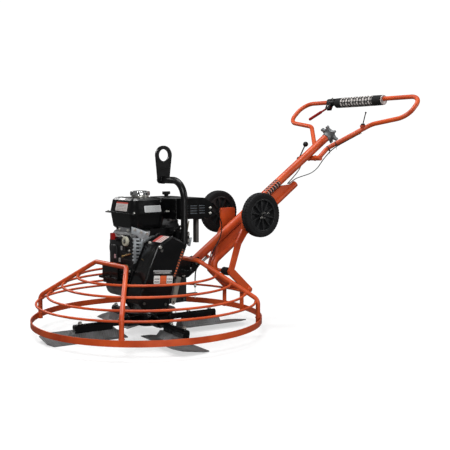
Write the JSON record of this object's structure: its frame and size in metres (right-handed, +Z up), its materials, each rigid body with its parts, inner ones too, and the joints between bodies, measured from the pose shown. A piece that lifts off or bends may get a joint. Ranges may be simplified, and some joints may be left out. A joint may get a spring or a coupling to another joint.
{
  "type": "power trowel",
  "caption": "Walk-behind concrete finisher: petrol engine on a round guard cage over a four-blade rotor, long tubular handle with pitch knob, fold-up transport wheels.",
  "frame": {"origin": "rotor axis where it meets the floor the blades stand on", "axes": "+X from the rotor to the operator, along the handle; -Y the side with the belt guard; +Z up"},
  "size_m": [1.8099, 0.965, 1.0495],
  "materials": {
    "orange_paint": "gloss enamel, worn",
    "black_paint": "semi-gloss enamel",
    "crankcase": "cast, matt",
    "gearbox_iron": "painted, matt",
    "bright_steel": "machined",
    "blade_steel": "dark, worn",
    "zinc": "zinc plated",
    "bronze": "machined",
    "black_rubber": "matt",
    "tyre": "matt",
    "hub_plastic": "satin",
    "black_plastic": "satin",
    "red_plastic": "gloss",
    "grip_foam": "matt, patterned",
    "knob_cast": "cast, matt",
    "cable_sheath": "satin",
    "muffler_steel": "heat stained"
  },
  "bodies": {
    "chassis": {"ring_band": "orange_paint", "rod_rings": "orange_paint", "cage_arms": "orange_paint", "carriage_mount": "orange_paint", "gearbox_housing": "gearbox_iron", "gearbox_covers": "gearbox_iron", "gearbox_bearings": "bright_steel", "deck_plate": "black_paint", "belt_guard": "black_paint", "guard_back_plate": "black_paint", "drive_belt": "black_rubber", "engine_castings": "crankcase", "fuel_tank": "black_paint", "blower_housing": "black_paint", "recoil_housing": "black_paint", "air_cleaner": "black_plastic", "carburettor": "crankcase", "muffler": "muffler_steel", "muffler_guard": "black_paint", "lifting_bracket": "black_paint", "handle_bracket": "black_paint", "main_tube": "orange_paint", "brace_tube": "orange_paint", "handlebar": "orange_paint", "grip_pad": "grip_foam", "lever_clamps": "black_plastic", "fasteners": "zinc", "control_cables": "cable_sheath"},
    "rotor": {"output_shaft": "bright_steel", "worm_wheel": "bronze", "spider": "black_paint"},
    "worm": {"worm_shaft": "bright_steel", "gearbox_pulley": "gearbox_iron"},
    "clutch": {"clutch_drum": "bright_steel"},
    "crank": {"crankshaft": "bright_steel"},
    "pitch_knob": {"star_knob": "knob_cast"},
    "plate": {"pressure_plate": "black_paint"},
    "collar": {"thrust_collar": "bright_steel"},
    "fork": {"pitch_fork": "black_paint"},
    "carriage": {"carriage_frame": "orange_paint", "carriage_bumper": "black_rubber", "wheel_pins": "zinc"},
    "wheel_near": {"hub_near": "hub_plastic", "tyre_near": "tyre"},
    "wheel_far": {"hub_far": "hub_plastic", "tyre_far": "tyre"},
    "safety": {"safety_lever": "red_plastic"},
    "throttle": {"throttle_lever": "black_plastic"},
    "ball": {"ball_lever": "black_plastic"},
    "cap": {"fuel_cap": "zinc"},
    "switch": {"engine_switch": "red_plastic"},
    "starter": {"recoil_grip": "black_plastic"},
    "arm_1": {"trowel_arm_1": "black_paint", "blade_1": "blade_steel"},
    "arm_2": {"trowel_arm_2": "black_paint", "blade_2": "blade_steel"},
    "arm_3": {"trowel_arm_3": "black_paint", "blade_3": "blade_steel"},
    "arm_4": {"trowel_arm_4": "black_paint", "blade_4": "blade_steel"}
  },
  "joints": [
    {"name": "rotor_spin", "type": "hinge", "parent": "chassis", "child": "rotor", "pos_m": [0, 0, 0], "axis": [0, 0, 1], "continuous": true},
    {"name": "worm_spin", "type": "hinge", "parent": "chassis", "child": "worm", "pos_m": [-0.105, 0, 0.205], "axis": [0, 1, 0], "continuous": true},
    {"name": "clutch_spin", "type": "hinge", "parent": "chassis", "child": "clutch", "pos_m": [-0.036, 0, 0.361], "axis": [0, 1, 0], "continuous": true},
    {"name": "crank_spin", "type": "hinge", "parent": "chassis", "child": "crank", "pos_m": [-0.036, 0, 0.361], "axis": [0, 1, 0], "continuous": true},
    {"name": "pitch_knob_turn", "type": "hinge", "parent": "chassis", "child": "pitch_knob", "pos_m": [0.864, 0, 0.7035], "axis": [0.829, 0, 0.5592], "range_deg": [-486, 864]},
    {"name": "plate_slide", "type": "slide", "parent": "rotor", "child": "plate", "axis": [0, 0, -1], "range_m": [-0.0071, 0.0126]},
    {"name": "collar_slide", "type": "slide", "parent": "chassis", "child": "collar", "axis": [0, 0, -1], "range_m": [-0.0071, 0.0126]},
    {"name": "fork_rock", "type": "hinge", "parent": "chassis", "child": "fork", "pos_m": [0.13, 0, 0.14], "axis": [0, -1, 0], "range_deg": [-3.12, 5.54]},
    {"name": "carriage_swing", "type": "hinge", "parent": "chassis", "child": "carriage", "pos_m": [0.49, 0, 0.145], "axis": [0, 1, 0], "range_deg": [0, 115]},
    {"name": "wheel_near_spin", "type": "hinge", "parent": "carriage", "child": "wheel_near", "pos_m": [0.501, -0.15, 0.485], "axis": [0, 1, 0], "continuous": true},
    {"name": "wheel_far_spin", "type": "hinge", "parent": "carriage", "child": "wheel_far", "pos_m": [0.501, 0.15, 0.485], "axis": [0, 1, 0], "continuous": true},
    {"name": "safety_lever_press", "type": "hinge", "parent": "chassis", "child": "safety", "pos_m": [1.284, 0.196, 1.004], "axis": [-0.8944, 0, 0.4472], "range_deg": [-24, 0], "stiffness_Nm_per_rad": 1, "springref_deg": 17.19},
    {"name": "throttle_turn", "type": "hinge", "parent": "chassis", "child": "throttle", "pos_m": [1.138, -0.1725, 0.875], "axis": [0, 0, 1], "range_deg": [-60, 0]},
    {"name": "ball_lever_turn", "type": "hinge", "parent": "chassis", "child": "ball", "pos_m": [0.905, 0.029, 0.733], "axis": [0, 1, 0], "range_deg": [-60, 0]},
    {"name": "fuel_cap_turn", "type": "hinge", "parent": "chassis", "child": "cap", "pos_m": [-0.02, 0.02, 0.59], "axis": [0, 0, 1], "range_deg": [0, 90]},
    {"name": "engine_switch_turn", "type": "hinge", "parent": "chassis", "child": "switch", "pos_m": [-0.14, 0.018, 0.418], "axis": [1, 0, 0], "range_deg": [0, 90]},
    {"name": "starter_pull", "type": "slide", "parent": "chassis", "child": "starter", "axis": [0.97, 0, 0.2431], "range_m": [0, 0.3], "stiffness_N_per_m": 20, "springref_m": -0.1},
    {"name": "blade_pitch_1", "type": "hinge", "parent": "rotor", "child": "arm_1", "pos_m": [0, 0, 0.058], "axis": [-0.9945, 0.1045, 0], "range_deg": [-9, 16]},
    {"name": "blade_pitch_2", "type": "hinge", "parent": "rotor", "child": "arm_2", "pos_m": [0, 0, 0.058], "axis": [-0.1045, -0.9945, 0], "range_deg": [-9, 16]},
    {"name": "blade_pitch_3", "type": "hinge", "parent": "rotor", "child": "arm_3", "pos_m": [0, 0, 0.058], "axis": [0.9945, -0.1045, 0], "range_deg": [-9, 16]},
    {"name": "blade_pitch_4", "type": "hinge", "parent": "rotor", "child": "arm_4", "pos_m": [0, 0, 0.058], "axis": [0.1045, 0.9945, 0], "range_deg": [-9, 16]}
  ],
  "couplings": [
    {"joint": "worm_spin", "follows": "rotor_spin", "ratio": 20},
    {"joint": "clutch_spin", "follows": "rotor_spin", "ratio": 27.778},
    {"joint": "plate_slide", "follows": "pitch_knob_turn", "m_per_rad": 0.00083333},
    {"joint": "collar_slide", "follows": "pitch_knob_turn", "m_per_rad": 0.00083333},
    {"joint": "fork_rock", "follows": "pitch_knob_turn", "ratio": 0.0064103},
    {"joint": "blade_pitch_1", "follows": "pitch_knob_turn", "ratio": 0.018519},
    {"joint": "blade_pitch_2", "follows": "pitch_knob_turn", "ratio": 0.018519},
    {"joint": "blade_pitch_3", "follows": "pitch_knob_turn", "ratio": 0.018519},
    {"joint": "blade_pitch_4", "follows": "pitch_knob_turn", "ratio": 0.018519}
  ]
}
